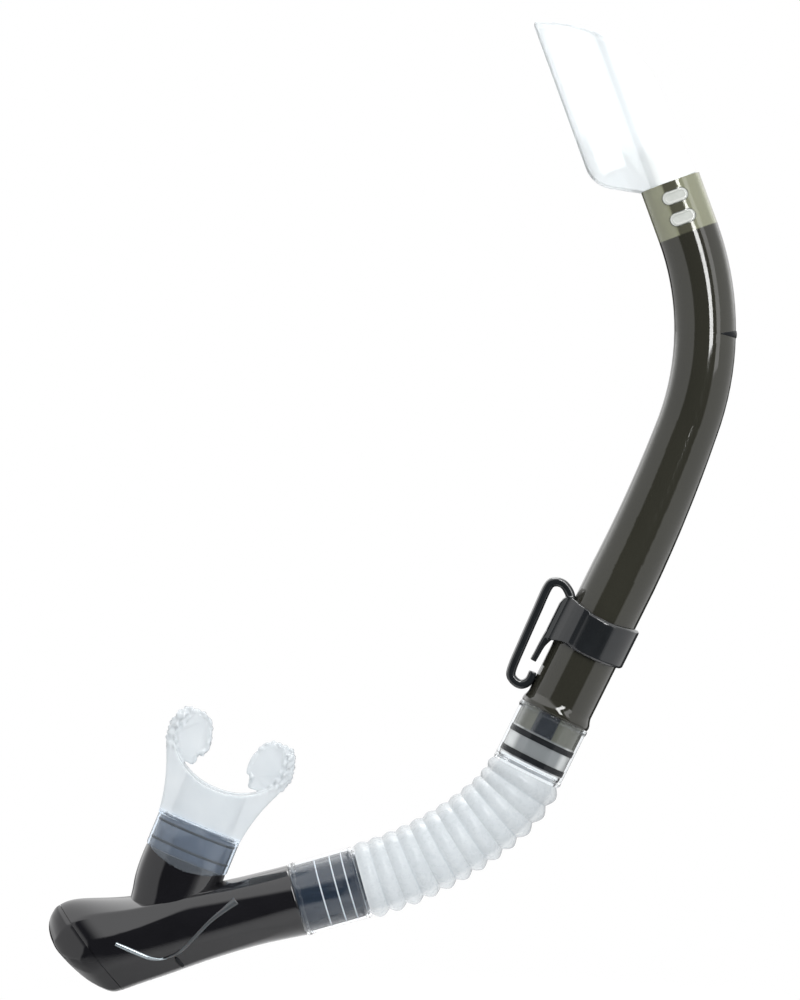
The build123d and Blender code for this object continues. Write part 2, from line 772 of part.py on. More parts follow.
def shield_outline():
    """Side view of the funnel and the curved lip shield."""
    with BuildSketch(mouth_side) as view:
        with BuildLine() as half:
            Line((0, shield_foot), (mouth_cuff_half_width, shield_foot))
            ThreePointArc((mouth_cuff_half_width, shield_foot), (22.2, 31), (28.2, 45))
            ThreePointArc((28.2, 45), (29.2, 53), (27.2, 60))
            Line((27.2, 60), (23.8, 59.4))
            ThreePointArc((23.8, 59.4), (25.4, 50), (20.5, 41.5))
            ThreePointArc((20.5, 41.5), (11.5, 35.6), (0, 33.6))
            mirror(half.line, about=Plane.YZ)
        make_face()
    return view.sketch


with BuildPart() as mouthpiece:
    extrude(shield_outline(), amount=shield_half_depth, both=True)
    with BuildSketch(mouth_section):
        Ellipse(shield_half_width, shield_half_depth)
    extrude(amount=mouth_reach, mode=Mode.INTERSECT)
    with BuildSketch(mouth_section):
        Ellipse(mouth_cuff_half_width, mouth_cuff_half_depth)
    extrude(amount=mouth_cuff_height)
    with BuildSketch(mouth_side):
        with BuildLine():
            Polyline((-22.0, 40.5), (-27.0, 45.0), (-28.0, 55.5))
            ThreePointArc((-28.0, 55.5), (-25.8, 61.4), (-20.5, 62.8))
            ThreePointArc((-20.5, 62.8), (-14.0, 61.2), (-10.8, 56.5))
            ThreePointArc((-10.8, 56.5), (-9.6, 47.0), (-13.5, 39.5))
            Line((-13.5, 39.5), (-22.0, 40.5))
        make_face()
        mirror(about=Plane.YZ)
    extrude(amount=bite_half_depth, both=True)
    with BuildSketch(mouth_section):
        Ellipse(neck_half_width - neck_spigot_inset, neck_half_depth - neck_spigot_inset)
    extrude(amount=neck_spigot_length, mode=Mode.SUBTRACT)
    with BuildSketch(mouth_section):
        Ellipse(airway_half_width, airway_half_depth)
    extrude(amount=airway_length, mode=Mode.SUBTRACT)
mouthpiece.part.label = "mouthpiece"
export_step(mouthpiece.part, "parts/mouthpiece.step")
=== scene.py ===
"""The looks of a dry-top snorkel.

A smoke-tinted barrel, a clear cap, a corrugated hose, a gloss black purge chamber and a frosted mouthpiece.
"""

import json
import math

import bmesh
import bpy
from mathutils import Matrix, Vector
from mathutils.bvhtree import BVHTree


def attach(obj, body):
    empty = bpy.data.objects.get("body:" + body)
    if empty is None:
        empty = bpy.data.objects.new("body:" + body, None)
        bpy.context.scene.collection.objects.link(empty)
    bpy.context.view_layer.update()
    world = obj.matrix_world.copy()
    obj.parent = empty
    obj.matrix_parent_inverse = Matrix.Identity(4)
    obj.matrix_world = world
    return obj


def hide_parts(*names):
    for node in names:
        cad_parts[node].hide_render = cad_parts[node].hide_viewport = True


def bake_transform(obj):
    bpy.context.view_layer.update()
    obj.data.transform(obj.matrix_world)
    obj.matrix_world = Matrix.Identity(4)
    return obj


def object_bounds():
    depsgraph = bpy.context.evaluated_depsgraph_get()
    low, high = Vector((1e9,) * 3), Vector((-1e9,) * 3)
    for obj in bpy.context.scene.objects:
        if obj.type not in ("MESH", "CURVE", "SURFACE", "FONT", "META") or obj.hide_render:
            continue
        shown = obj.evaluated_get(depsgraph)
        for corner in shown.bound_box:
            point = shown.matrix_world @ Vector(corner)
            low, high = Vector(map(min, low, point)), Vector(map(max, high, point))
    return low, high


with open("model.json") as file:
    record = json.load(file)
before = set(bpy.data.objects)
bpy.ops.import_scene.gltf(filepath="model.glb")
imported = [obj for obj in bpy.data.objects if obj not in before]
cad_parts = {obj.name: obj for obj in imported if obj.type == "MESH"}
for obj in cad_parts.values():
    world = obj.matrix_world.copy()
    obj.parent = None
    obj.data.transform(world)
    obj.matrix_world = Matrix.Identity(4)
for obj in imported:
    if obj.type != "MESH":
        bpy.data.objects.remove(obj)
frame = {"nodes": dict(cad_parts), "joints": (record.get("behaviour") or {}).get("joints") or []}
first_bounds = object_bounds()
LOW, HIGH = first_bounds
MIDDLE = (LOW + HIGH) / 2

# Lengths are in millimetres and angles in degrees. A lean is an angle from upright towards +X.
MM = 0.001
HOOP_POINTS = 96
BARREL_LEAN = 26.4
TOP_LEAN = -20.0
HOSE_KNEE_LEAN = 50.0
HOSE_FOOT_LEAN = 74.3
NECK_LEAN = 22.5
UPPER_CUFF_LENGTH = 28.1
LOWER_CUFF_LENGTH = 29.7
HOSE_LENGTH = 88.4
CORRUGATIONS = 12
HOSE_JOINTS = 6
FLOAT_HINGE_FROM_TOP = (-12.55, 19.04)
JOINTS = {joint["name"]: joint for joint in frame["joints"]}


# ---------------------------------------------------------------- places


def up(lean):
    """The direction along a part that leans by this much."""
    angle = math.radians(lean)
    return Vector((math.sin(angle), 0, math.cos(angle)))


def across(lean):
    """The direction square to up(lean), in the plane of the tube's bends."""
    angle = math.radians(lean)
    return Vector((math.cos(angle), 0, -math.sin(angle)))


def joint_point(name):
    """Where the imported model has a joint."""
    return Vector(JOINTS[name]["pos_m"])


def local(origin, lean, right, depth, rise):
    """The point that is this far across, deep and up from origin, in a part's leaning axes."""
    offset = across(lean) * right + Vector((0, depth, 0)) + up(lean) * rise
    return origin + offset * MM


BARREL_FOOT = joint_point("upper_swivel")
HOSE_START = BARREL_FOOT - up(BARREL_LEAN) * UPPER_CUFF_LENGTH * MM
CHAMBER_MOUTH = joint_point("lower_swivel")
HINGE_ACROSS, HINGE_RISE = FLOAT_HINGE_FROM_TOP
BARREL_TOP = local(joint_point("float_valve"), TOP_LEAN, -HINGE_ACROSS, 0, -HINGE_RISE)


def hose_line(distance):
    """The hose's centre and lean at this distance down from its upper end: a tight bend, then a wide one."""
    quarter = HOSE_LENGTH / 4
    first = quarter / math.radians(HOSE_KNEE_LEAN - BARREL_LEAN)
    second = 3 * quarter / math.radians(HOSE_FOOT_LEAN - HOSE_KNEE_LEAN)
    lean = BARREL_LEAN + math.degrees(min(distance, quarter) / first)
    centre = HOSE_START + (across(lean) - across(BARREL_LEAN)) * first * MM
    if distance > quarter:
        lean = HOSE_KNEE_LEAN + math.degrees((distance - quarter) / second)
        centre += (across(lean) - across(HOSE_KNEE_LEAN)) * second * MM
    return centre, lean


# ---------------------------------------------------------------- meshes


def hoop(centre, lean, radius, depth=None):
    """Points round an ellipse square to up(lean). The radius may be a function of the angle."""
    points = []
    for i in range(HOOP_POINTS):
        angle = 2 * math.pi * i / HOOP_POINTS
        size = radius(angle) if callable(radius) else radius
        side = size if depth is None else depth
        points.append(local(centre, lean, size * math.cos(angle), side * math.sin(angle), 0))
    return points


def add_object(name, mesh):
    """Turns a bmesh into a smooth-shaded object."""
    data = bpy.data.meshes.new(name)
    mesh.to_mesh(data)
    mesh.free()
    for polygon in data.polygons:
        polygon.use_smooth = True
    piece = bpy.data.objects.new(name, data)
    bpy.context.scene.collection.objects.link(piece)
    return piece


def skin(name, strips, capped=False, crease=None):
    """A mesh through each strip of rings.

    Capped strips are closed solids. Edges that fold by more than the crease angle are shaded sharp.
    """
    mesh = bmesh.new()
    for rings in strips:
        rows = [[mesh.verts.new(point) for point in ring] for ring in rings]
        for lower, upper in zip(rows, rows[1:]):
            for i in range(len(lower)):
                j = (i + 1) % len(lower)
                mesh.faces.new((lower[i], lower[j], upper[j], upper[i]))
        if capped:
            mesh.faces.new(rows[0])
            mesh.faces.new(rows[-1])
    if capped:
        bmesh.ops.recalc_face_normals(mesh, faces=mesh.faces)
    piece = add_object(name, mesh)
    if crease:
        piece.data.set_sharp_from_angle(angle=math.radians(crease))
    return piece


def between(before, start, end, after, share):
    """The Catmull-Rom value this share of the way from start to end."""
    square = before - 2.5 * start + 2 * end - after / 2
    cube = 1.5 * (start - end) + (after - before) / 2
    return start + share * (end - before) / 2 + share * share * square + share**3 * cube


def smooth_rows(rows, steps):
    """Given rows of numbers with smooth rows filled in between them."""
    padded = [rows[0], *rows, rows[-1]]
    result = []
    for four_rows in zip(padded, padded[1:], padded[2:], padded[3:]):
        for step in range(steps):
            result.append([between(*values, step / steps) for values in zip(*four_rows)])
    result.append(list(rows[-1]))
    return result


def direction_at(rows, index):
    """The direction in which a line of (x, y, ...) rows runs at one of them."""
    before = rows[max(index - 1, 0)]
    after = rows[min(index + 1, len(rows) - 1)]
    return Vector((after[0] - before[0], after[1] - before[1])).normalized()


def settle(piece):
    """Applies a piece's modifiers to its mesh."""
    evaluated = piece.evaluated_get(bpy.context.evaluated_depsgraph_get())
    data = bpy.data.meshes.new_from_object(evaluated)
    piece.modifiers.clear()
    piece.data = data
    for polygon in data.polygons:
        polygon.use_smooth = True
    return piece


def fuse(name, meshes, voxel, passes, kept=0.4):
    """Merges closed meshes into one moulding with rounded edges, and keeps this share of its faces."""
    merged = bmesh.new()
    for mesh in meshes:
        merged.from_mesh(mesh)
    bmesh.ops.remove_doubles(merged, verts=merged.verts, dist=0.001 * MM)
    piece = add_object(name, merged)
    remesh = piece.modifiers.new("remesh", "REMESH")
    remesh.mode = "VOXEL"
    remesh.voxel_size = voxel * MM
    smooth = piece.modifiers.new("smooth", "SMOOTH")
    smooth.factor = 0.5
    smooth.iterations = passes
    decimate = piece.modifiers.new("decimate", "DECIMATE")
    decimate.ratio = kept
    return settle(piece)


def softened(node, name, voxel, passes, kept=0.4):
    """A copy of a CAD node with rounded edges, which stands for it."""
    piece = fuse(name, [frame["nodes"][node].data], voxel, passes, kept)
    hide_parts(node)
    return piece


# ---------------------------------------------------------------- materials


# A colour mix node has sockets of the same name for each kind of data, so they are found by number.
COLOUR_A = 6
COLOUR_B = 7
COLOUR_RESULT = 2
# How far down the barrel the clear collar reaches, and down its spigot the thin end starts.
COLLAR_LENGTH = 23.5
SPIGOT_THIN_FROM = 10.6


def plug(tree, target, value):
    """Links a node's output to an input, or sets the input to a plain value."""
    if isinstance(value, bpy.types.NodeSocket):
        tree.links.new(value, target)
    else:
        target.default_value = value


class Finish:
    """One procedural material: a Principled shader and the textures that feed it."""

    def __init__(self, name, roughness, **sockets):
        self.material = bpy.data.materials.new(name)
        self.material.use_nodes = True
        self.tree = self.material.node_tree
        self.shader = self.tree.nodes["Principled BSDF"]
        self.shader.inputs["Roughness"].default_value = roughness
        for socket, value in sockets.items():
            self.shader.inputs[socket.replace("_", " ")].default_value = value
        self.place = self.tree.nodes.new("ShaderNodeTexCoord").outputs["Object"]

    def node(self, kind, **settings):
        made = self.tree.nodes.new(kind)
        for key, value in settings.items():
            setattr(made, key, value)
        return made

    def feed(self, made, **values):
        """Sets or links a node's inputs by name."""
        for socket, value in values.items():
            plug(self.tree, made.inputs[socket.replace("_", " ")], value)

    def noise(self, size, detail=3.0, stretch=(1, 1, 1)):
        """Soft noise whose blotches are about this many millimetres, stretched along X, Y and Z."""
        mapping = self.node("ShaderNodeMapping", vector_type="TEXTURE")
        mapping.inputs["Scale"].default_value = [size * MM * value for value in stretch]
        self.tree.links.new(self.place, mapping.inputs["Vector"])
        noise = self.node("ShaderNodeTexNoise")
        self.feed(noise, Vector=mapping.outputs["Vector"], Scale=1.0, Detail=detail, Roughness=0.55)
        return noise.outputs["Fac"]

    def span(self, value, low, high, to_low=0.0, to_high=1.0):
        """Maps a value from one range to another, smoothly and with its ends held."""
        made = self.node("ShaderNodeMapRange", interpolation_type="SMOOTHSTEP")
        self.feed(made, From_Min=low, From_Max=high, To_Min=to_low, To_Max=to_high, Value=value)
        return made.outputs["Result"]

    def math(self, operation, first, second=0.0):
        made = self.node("ShaderNodeMath", operation=operation)
        plug(self.tree, made.inputs[0], first)
        plug(self.tree, made.inputs[1], second)
        return made.outputs["Value"]

    def along(self, point, direction):
        """How far the shaded point is past a plane through point, in millimetres."""
        dot = self.node("ShaderNodeVectorMath", operation="DOT_PRODUCT")
        self.tree.links.new(self.place, dot.inputs[0])
        dot.inputs[1].default_value = direction / MM
        return self.math("SUBTRACT", dot.outputs["Value"], point.dot(direction) / MM)

    def past(self, point, direction, blur):
        """0 before a plane through point and 1 past it, blended over this many millimetres each way."""
        return self.span(self.along(point, direction), -blur, blur)

    def off(self, point, direction):
        """How far the shaded point is from a plane through point, on either side, in millimetres."""
        return self.math("ABSOLUTE", self.along(point, direction))

    def colour(self, factor, first, second):
        """Mixes two colours, each a red, green and blue triple or another node's output."""
        made = self.node("ShaderNodeMix", data_type="RGBA")
        self.tree.links.new(factor, made.inputs["Factor"])
        for target, value in ((made.inputs[COLOUR_A], first), (made.inputs[COLOUR_B], second)):
            plug(self.tree, target, (*value, 1) if isinstance(value, tuple) else value)
        return made.outputs[COLOUR_RESULT]

    def use(self, **links):
        """Links outputs to the shader's inputs by name."""
        for socket, value in links.items():
            self.tree.links.new(value, self.shader.inputs[socket.replace("_", " ")])

    def bump(self, height, depth):
        """Raises the surface by this height, whose whole range is depth millimetres."""
        made = self.node("ShaderNodeBump")
        self.feed(made, Strength=1.0, Distance=depth * MM, Height=height)
        self.tree.links.new(made.outputs["Normal"], self.shader.inputs["Normal"])

    def give(self, *targets):
        """Puts the material on pieces or CAD nodes."""
        for target in targets:
            piece = frame["nodes"][target] if isinstance(target, str) else target
            piece.data.materials.clear()
            piece.data.materials.append(self.material)
            if piece.material_slots:
                piece.material_slots[0].material = self.material


def smoke_plastic():
    """Smoke-tinted clear plastic, olive in the collar under the cap and pale at the spigot's end, with
    painted shade down the middle of the collar and of the spigot, and painted highlights at the edges of the
    spigot's end.
    """
    finish = Finish("smoke_barrel", 0.09, IOR=1.5, Transmission_Weight=0.55, Coat_Weight=0.3)
    collar = finish.past(local(BARREL_TOP, TOP_LEAN, 0, 0, -COLLAR_LENGTH), up(TOP_LEAN), 0.4)
    spigot = finish.past(BARREL_FOOT, -up(BARREL_LEAN), 0.2)
    thin_start = local(BARREL_FOOT, BARREL_LEAN, 0, 0, -SPIGOT_THIN_FROM)
    tip = finish.past(thin_start, -up(BARREL_LEAN), 0.6)
    drift = finish.noise(26, detail=2, stretch=(1, 1, 3))
    # The collar is olive with painted shade: a dark strip down its middle.
    painted_shade_strip = finish.span(finish.off(local(BARREL_TOP, TOP_LEAN, -1.5, 0, 0), across(TOP_LEAN)), 2.6, 3.6)
    pale = finish.colour(drift, (0.33, 0.34, 0.235), (0.39, 0.40, 0.285))
    pale = finish.colour(painted_shade_strip, (0.12, 0.12, 0.085), pale)
    # The spigot under the cuff is olive grey with painted shade down its middle, and its thin end is grey
    # with painted highlights at its edges.
    painted_shade_core = finish.span(finish.off(local(BARREL_FOOT, BARREL_LEAN, -2, 0, 0), across(BARREL_LEAN)), 4.5, 5.5)
    bare = finish.colour(drift, (0.085, 0.088, 0.074), (0.125, 0.128, 0.108))
    # Painted highlights: the thin end turns pale towards its left and right edges.
    edge = finish.span(finish.off(BARREL_FOOT, across(BARREL_LEAN)), 9.0, 11.5)
    thin = finish.colour(drift, (0.26, 0.275, 0.28), (0.34, 0.355, 0.36))
    thin = finish.colour(edge, thin, (0.74, 0.75, 0.74))
    dark = finish.colour(drift, (0.036, 0.036, 0.027), (0.058, 0.057, 0.043))
    dark = finish.colour(spigot, dark, finish.colour(painted_shade_core, (0.030, 0.034, 0.040), bare))
    finish.use(Base_Color=finish.colour(tip, finish.colour(collar, dark, pale), thin))
    clear = finish.math("SUBTRACT", 0.55, finish.span(spigot, 0, 1, 0, 0.35))
    finish.use(Transmission_Weight=finish.math("ADD", clear, finish.span(tip, 0, 1, 0, 0.3)))
    finish.use(Roughness=finish.span(finish.noise(1.4, stretch=(1, 1, 8)), 0.35, 0.8, 0.05, 0.12))
    finish.bump(finish.noise(12, detail=1), 0.005)
    return finish


def gloss_black():
    """High-gloss black plastic with a trace of polishing haze and dust, blue-grey on both spigots."""
    finish = Finish("chamber_gloss", 0.06, IOR=1.5, Coat_Weight=0.25, Coat_Roughness=0.03)
    haze = finish.noise(18, detail=2)
    hose_spigot = finish.past(CHAMBER_MOUTH, up(HOSE_FOOT_LEAN), 0.3)
    mouth_spigot = finish.past(MOUTH_FOOT, up(NECK_LEAN), 0.3)
    near_neck = finish.span(finish.off(MOUTH_FOOT, across(NECK_LEAN)), 20.0, 19.5)
    mouth_spigot = finish.math("MULTIPLY", mouth_spigot, near_neck)
    black = finish.colour(haze, (0.004, 0.004, 0.005), (0.009, 0.009, 0.011))
    hose_blue = finish.colour(haze, (0.013, 0.019, 0.029), (0.018, 0.026, 0.040))
    mouth_blue = finish.colour(haze, (0.030, 0.040, 0.058), (0.050, 0.063, 0.088))
    black = finish.colour(hose_spigot, black, hose_blue)
    finish.use(Base_Color=finish.colour(mouth_spigot, black, mouth_blue))
    finish.use(Roughness=finish.span(finish.noise(0.9, detail=5), 0.5, 0.8, 0.06, 0.2))
    finish.bump(finish.noise(14, detail=1), 0.03)
    return finish


def keeper_black():
    """Semi-gloss black moulding with a fine satin grain."""
    finish = Finish("keeper_black", 0.16, IOR=1.52, Coat_Weight=0.3, Coat_Roughness=0.12)
    grain = finish.noise(0.5, detail=4)
    finish.use(Base_Color=finish.colour(finish.noise(7), (0.006, 0.007, 0.008), (0.012, 0.014, 0.016)))
    finish.use(Roughness=finish.span(grain, 0.3, 0.8, 0.13, 0.22))
    finish.bump(grain, 0.004)
    return finish


def clear_silicone():
    """Clear, faintly blue silicone, as on the cuffs."""
    coat = {"Coat_Weight": 0.35, "Coat_Roughness": 0.04}
    finish = Finish("cuff_silicone", 0.02, IOR=1.06, Transmission_Weight=1.0, **coat)
    cloud = finish.noise(9, detail=3)
    finish.use(Base_Color=finish.colour(cloud, (0.91, 0.945, 0.97), (0.96, 0.975, 0.985)))
    finish.use(Roughness=finish.span(finish.noise(2.5, detail=4), 0.45, 0.8, 0.015, 0.05))
    finish.bump(finish.noise(9, detail=1), 0.003)
    return finish


def milky_silicone():
    """Thin milky silicone with painted shade darkening its grooves. Part of the light passes straight
    through each wall.
    """
    finish = Finish("hose_silicone", 0.3, IOR=1.41, Coat_Weight=0.3, Coat_Roughness=0.12)
    cloud = finish.noise(14, detail=3)
    body = finish.colour(cloud, (0.46, 0.50, 0.525), (0.56, 0.59, 0.61))
    shape = finish.node("ShaderNodeNewGeometry").outputs["Pointiness"]
    # Painted shade: the grooves, found by the mesh's pointiness, get a darker colour.
    groove = finish.span(shape, 0.42, 0.49)
    finish.use(Base_Color=finish.colour(groove, (0.36, 0.42, 0.46), body))
    finish.use(Alpha=finish.span(cloud, 0.3, 0.7, 0.48, 0.58))
    finish.use(Roughness=finish.span(finish.noise(2.0, detail=3), 0.3, 0.75, 0.24, 0.38))
    finish.bump(finish.noise(5, detail=2), 0.008)
    return finish


def frosted_silicone():
    """Frosted silicone, clear where the cuff is stretched over the spigot."""
    coat = {"Coat_Weight": 0.4, "Coat_Roughness": 0.1}
    finish = Finish("mouth_silicone", 0.3, IOR=1.12, Transmission_Weight=0.6, **coat)
    spigot_end = local(MOUTH_FOOT, NECK_LEAN, 0, 0, NECK_SPIGOT_LENGTH)
    frosted = finish.span(finish.along(spigot_end, up(NECK_LEAN)), -1.2, 2.5)
    cloud = finish.noise(12, detail=4)
    body = finish.colour(cloud, (0.57, 0.61, 0.64), (0.70, 0.725, 0.74))
    finish.use(Base_Color=finish.colour(frosted, (0.76, 0.86, 0.97), body))
    finish.use(Transmission_Weight=finish.span(frosted, 0, 1, 0.93, 0.5))
    grain = finish.noise(1.4, detail=4)
    frosting = finish.span(frosted, 0, 1, 0.03, 0.34)
    finish.use(Roughness=finish.math("ADD", frosting, finish.span(grain, 0.3, 0.8, 0.0, 0.08)))
    finish.bump(grain, 0.01)
    return finish


def cap_plastic():
    """Clear plastic, lightly frosted from the inside, greyer on the flat fin."""
    finish = Finish("clear_cap", 0.2, IOR=1.3, Transmission_Weight=0.55)
    fin = finish.past(local(BARREL_TOP, TOP_LEAN, -6.5, 0, 0), -across(TOP_LEAN), 1.0)
    body = finish.colour(finish.noise(20, detail=2), (0.79, 0.815, 0.82), (0.87, 0.885, 0.89))
    flat = finish.colour(finish.noise(16, detail=2), (0.69, 0.72, 0.735), (0.76, 0.78, 0.79))
    finish.use(Base_Color=finish.colour(fin, body, flat))
    finish.use(Roughness=finish.span(finish.noise(1.1, detail=4), 0.3, 0.8, 0.28, 0.42))
    finish.bump(finish.noise(6, detail=2), 0.006)
    return finish


def clear_plastic():
    """Clear greyish plastic, as on the stem and its window bosses."""
    finish = Finish("clear_stem", 0.1, IOR=1.5, Transmission_Weight=0.3, Coat_Weight=0.4)
    cloud = finish.noise(5, detail=3)
    finish.use(Base_Color=finish.colour(cloud, (0.50, 0.52, 0.49), (0.66, 0.68, 0.65)))
    finish.use(Roughness=finish.span(finish.noise(1.2, detail=3), 0.35, 0.8, 0.06, 0.14))
    finish.bump(finish.noise(3, detail=1), 0.01)
    return finish


def rubber():
    """Dull black rubber."""
    finish = Finish("seal_rubber", 0.42, IOR=1.5, Specular_IOR_Level=0.12)
    speckle = finish.noise(0.4, detail=4)
    finish.use(Base_Color=finish.colour(finish.noise(5), (0.004, 0.005, 0.006), (0.011, 0.012, 0.014)))
    finish.use(Roughness=finish.span(speckle, 0.3, 0.8, 0.34, 0.55))
    finish.bump(speckle, 0.01)
    return finish


def silver():
    """Silver paint with fine metallic flake."""
    finish = Finish("silver_accent", 0.24, Metallic=0.85, Coat_Weight=0.5)
    flake = finish.noise(0.25, detail=2)
    finish.use(Base_Color=finish.colour(flake, (0.24, 0.28, 0.31), (0.42, 0.47, 0.50)))
    finish.use(Roughness=finish.span(flake, 0.3, 0.7, 0.2, 0.34))
    finish.bump(finish.noise(1.2), 0.008)
    return finish


def ground_steel():
    """Steel with fine grinding lines."""
    finish = Finish("pin_steel", 0.3, Metallic=1.0, Anisotropic=0.5)
    lines = finish.noise(0.15, detail=2, stretch=(1, 30, 1))
    finish.use(Base_Color=finish.colour(lines, (0.50, 0.50, 0.51), (0.68, 0.68, 0.69)))
    finish.use(Roughness=finish.span(lines, 0.3, 0.7, 0.2, 0.4))
    finish.bump(lines, 0.004)
    return finish


def moulding(name, first, second, roughness):
    """Plain moulded plastic or satin silicone with a fine spark-eroded texture."""
    finish = Finish(name, roughness, IOR=1.48, Subsurface_Weight=0.08, Subsurface_Scale=1.5 * MM)
    texture = finish.noise(0.35, detail=4)
    finish.use(Base_Color=finish.colour(finish.noise(6), first, second))
    finish.use(Roughness=finish.span(texture, 0.3, 0.75, roughness * 0.8, roughness * 1.2))
    finish.bump(texture, 0.012)
    return finish


# ---------------------------------------------------------------- hose and cuffs

HOSE_BORE = 13.4
HOSE_PIECE_STEPS = 28
CREST_RADIUS = 17.1
GROOVE_DEPTH = 1.7
GROOVE_ROUNDNESS = 0.55
BEND_GROOVE_GAIN = 0.5
CUFF_RADIUS = 16.3
CUFF_SOCKET = 13.85
SPIGOT_STOP = 25.0


def hose_radius(distance):
    """The corrugated outside as a function of angle: its grooves are deeper outside the bend."""
    turn = math.cos(2 * math.pi * distance * CORRUGATIONS / HOSE_LENGTH)
    groove = 1 - (0.5 - 0.5 * turn) ** GROOVE_ROUNDNESS
    return lambda angle: CREST_RADIUS - groove * (GROOVE_DEPTH + BEND_GROOVE_GAIN * math.cos(angle))


def hose_piece(index):
    """One sixth of the hose, swept along its curved line."""
    span = HOSE_LENGTH / HOSE_JOINTS
    outside = []
    inside = []
    for step in range(HOSE_PIECE_STEPS + 1):
        distance = index * span + span * step / HOSE_PIECE_STEPS
        centre, lean = hose_line(distance)
        outside.append(hoop(centre, lean, hose_radius(distance)))
        inside.append(hoop(centre, lean, HOSE_BORE))
    piece = skin(f"hose_bellows_{index + 1}", [outside[::-1], inside])
    start = hose_line(index * span)[0]
    end = hose_line((index + 1) * span)[0]
    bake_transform(piece)
    if index < HOSE_JOINTS - 1:
        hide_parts(f"hose_section_{index + 1}")
    return piece


def cuff_rings(lip, lean, towards_hose, length):
    """A cuff from the hose's inside, round its lip, and back along its outside. Lengths are from the lip."""
    valley = CREST_RADIUS - GROOVE_DEPTH
    profile = [
        (length, HOSE_BORE),
        (SPIGOT_STOP + 0.8, HOSE_BORE),
        (SPIGOT_STOP, CUFF_SOCKET),
        (1.2, CUFF_SOCKET),
        (0.5, CUFF_SOCKET + 0.4),
        (0.1, CUFF_SOCKET + 1.0),
        (0.0, CUFF_SOCKET + 1.6),
        (0.2, CUFF_RADIUS - 0.3),
        (0.7, CUFF_RADIUS),
        (2.2, CUFF_RADIUS),
        (3.0, CUFF_RADIUS - 0.25),
        (length - 3.4, CUFF_RADIUS - 0.3),
        (length - 1.6, CUFF_RADIUS - 0.1),
        (length - 0.5, valley + 0.3),
        (length, valley),
    ]
    rings = []
    for distance, radius in smooth_rows(profile, 3):
        rings.append(hoop(lip + towards_hose * distance * MM, lean, radius))
    return rings


def make_cuffs():
    """The hose's two plain ends, which turn on the spigots."""
    upper_rings = cuff_rings(BARREL_FOOT, BARREL_LEAN, -up(BARREL_LEAN), UPPER_CUFF_LENGTH)
    upper = skin("hose_cuff_upper", [upper_rings[::-1]])
    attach(upper, "upper_cuff")
    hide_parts("hose_upper_cuff")
    lower_rings = cuff_rings(CHAMBER_MOUTH, HOSE_FOOT_LEAN, up(HOSE_FOOT_LEAN), LOWER_CUFF_LENGTH)
    lower = skin("hose_cuff_lower", [lower_rings])
    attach(lower, "lower_cuff")
    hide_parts("hose_lower_cuff")
    return upper, lower


hose_pieces = [hose_piece(index) for index in range(HOSE_JOINTS)]
cuffs = make_cuffs()
milky_silicone().give(*hose_pieces)
clear_silicone().give(*cuffs)
for piece in (*hose_pieces, *cuffs):
    piece.visible_shadow = False


# ---------------------------------------------------------------- purge chamber

# Each section's top and bottom, as distance from the mouth and rise from the axis, then its half depth,
# its squareness, and how far up it the bevel below the top starts.
CHAMBER_SECTIONS = [
    (0.0, 15.9, 0.0, -15.9, 15.5, 2.0, 0.82),
    (12.0, 16.2, 10.0, -15.1, 15.6, 2.15, 0.81),
    (27.4, 16.9, 23.0, -14.4, 15.9, 2.4, 0.77),
    (50.0, 19.0, 43.0, -14.7, 16.6, 2.6, 0.70),
    (73.0, 22.0, 62.0, -15.9, 17.4, 2.7, 0.62),
    (93.0, 26.6, 76.5, -16.6, 18.0, 2.8, 0.54),
    (101.6, 26.2, 84.3, -17.1, 17.8, 2.8, 0.50),
    (105.4, 23.8, 89.0, -16.7, 17.0, 2.8, 0.50),
    (107.9, 20.4, 93.5, -13.6, 15.6, 2.7, 0.50),
    (109.0, 17.0, 98.5, -8.4, 13.2, 2.6, 0.52),
    (109.2, 13.4, 103.2, -1.4, 9.8, 2.4, 0.56),
    (108.7, 10.4, 106.4, 4.4, 5.6, 2.2, 0.62),
]
NOSE_TIP = (108.2, 8.9, 107.4, 6.8, 2.4, 2.0, 0.97)
CHAMBER_POINTS = 144
CHAMBER_HALF_HEIGHT = 18.0
SECTION_STEPS = 6
SEAM_SECTION = 6
SEAM_START = SEAM_SECTION * SECTION_STEPS
SEAM_GAP = 0.3
SEAM_DEPTH = 0.5
TONGUE_OVERLAP = 0.1
SEAM_CREASE = 60
SHOULDER_START = 0.5
CHAMBER_SPIGOT = 14.0
CHAMBER_SPIGOT_LENGTH = 28.6
CHAMBER_BORE = 11.8
# The bevels: the top one's slope and its share of the height above the flat side, how the crown over it is
# rounded, and the foot one's share of the height and how much depth it takes off.
TOP_BEVEL_SLOPE = 1.15
RIDGE_SHARE = 0.6
CROWN_POWER = 0.8
FOOT_BEVEL = 0.3
FOOT_BEVEL_INSET = 0.5


def chamber_point(distance, rise, depth=0.0):
    """A point this far past the chamber's mouth and above its axis."""
    offset = up(HOSE_FOOT_LEAN) * distance + across(HOSE_FOOT_LEAN) * rise - Vector((0, depth, 0))
    return CHAMBER_MOUTH - offset * MM


def signed_power(value, exponent):
    """The power of a number's size, with its sign kept."""
    return math.copysign(abs(value) ** exponent, value)


def bevelled(share, bevel):
    """How much of the chamber's half depth is left at this share of its height.

    From the foot up there is a bevel, the flat side, a bevel and the crown.
    """
    ridge = bevel + RIDGE_SHARE * (1 - bevel)
    inset = TOP_BEVEL_SLOPE * (ridge - bevel)
    if share < FOOT_BEVEL:
        return 1 - FOOT_BEVEL_INSET * (1 - share / FOOT_BEVEL)
    if share < bevel:
        return 1.0
    if share < ridge:
        return 1 - inset * (share - bevel) / (ridge - bevel)
    return (1 - inset) * max(0.0, (1 - share) / (1 - ridge)) ** CROWN_POWER


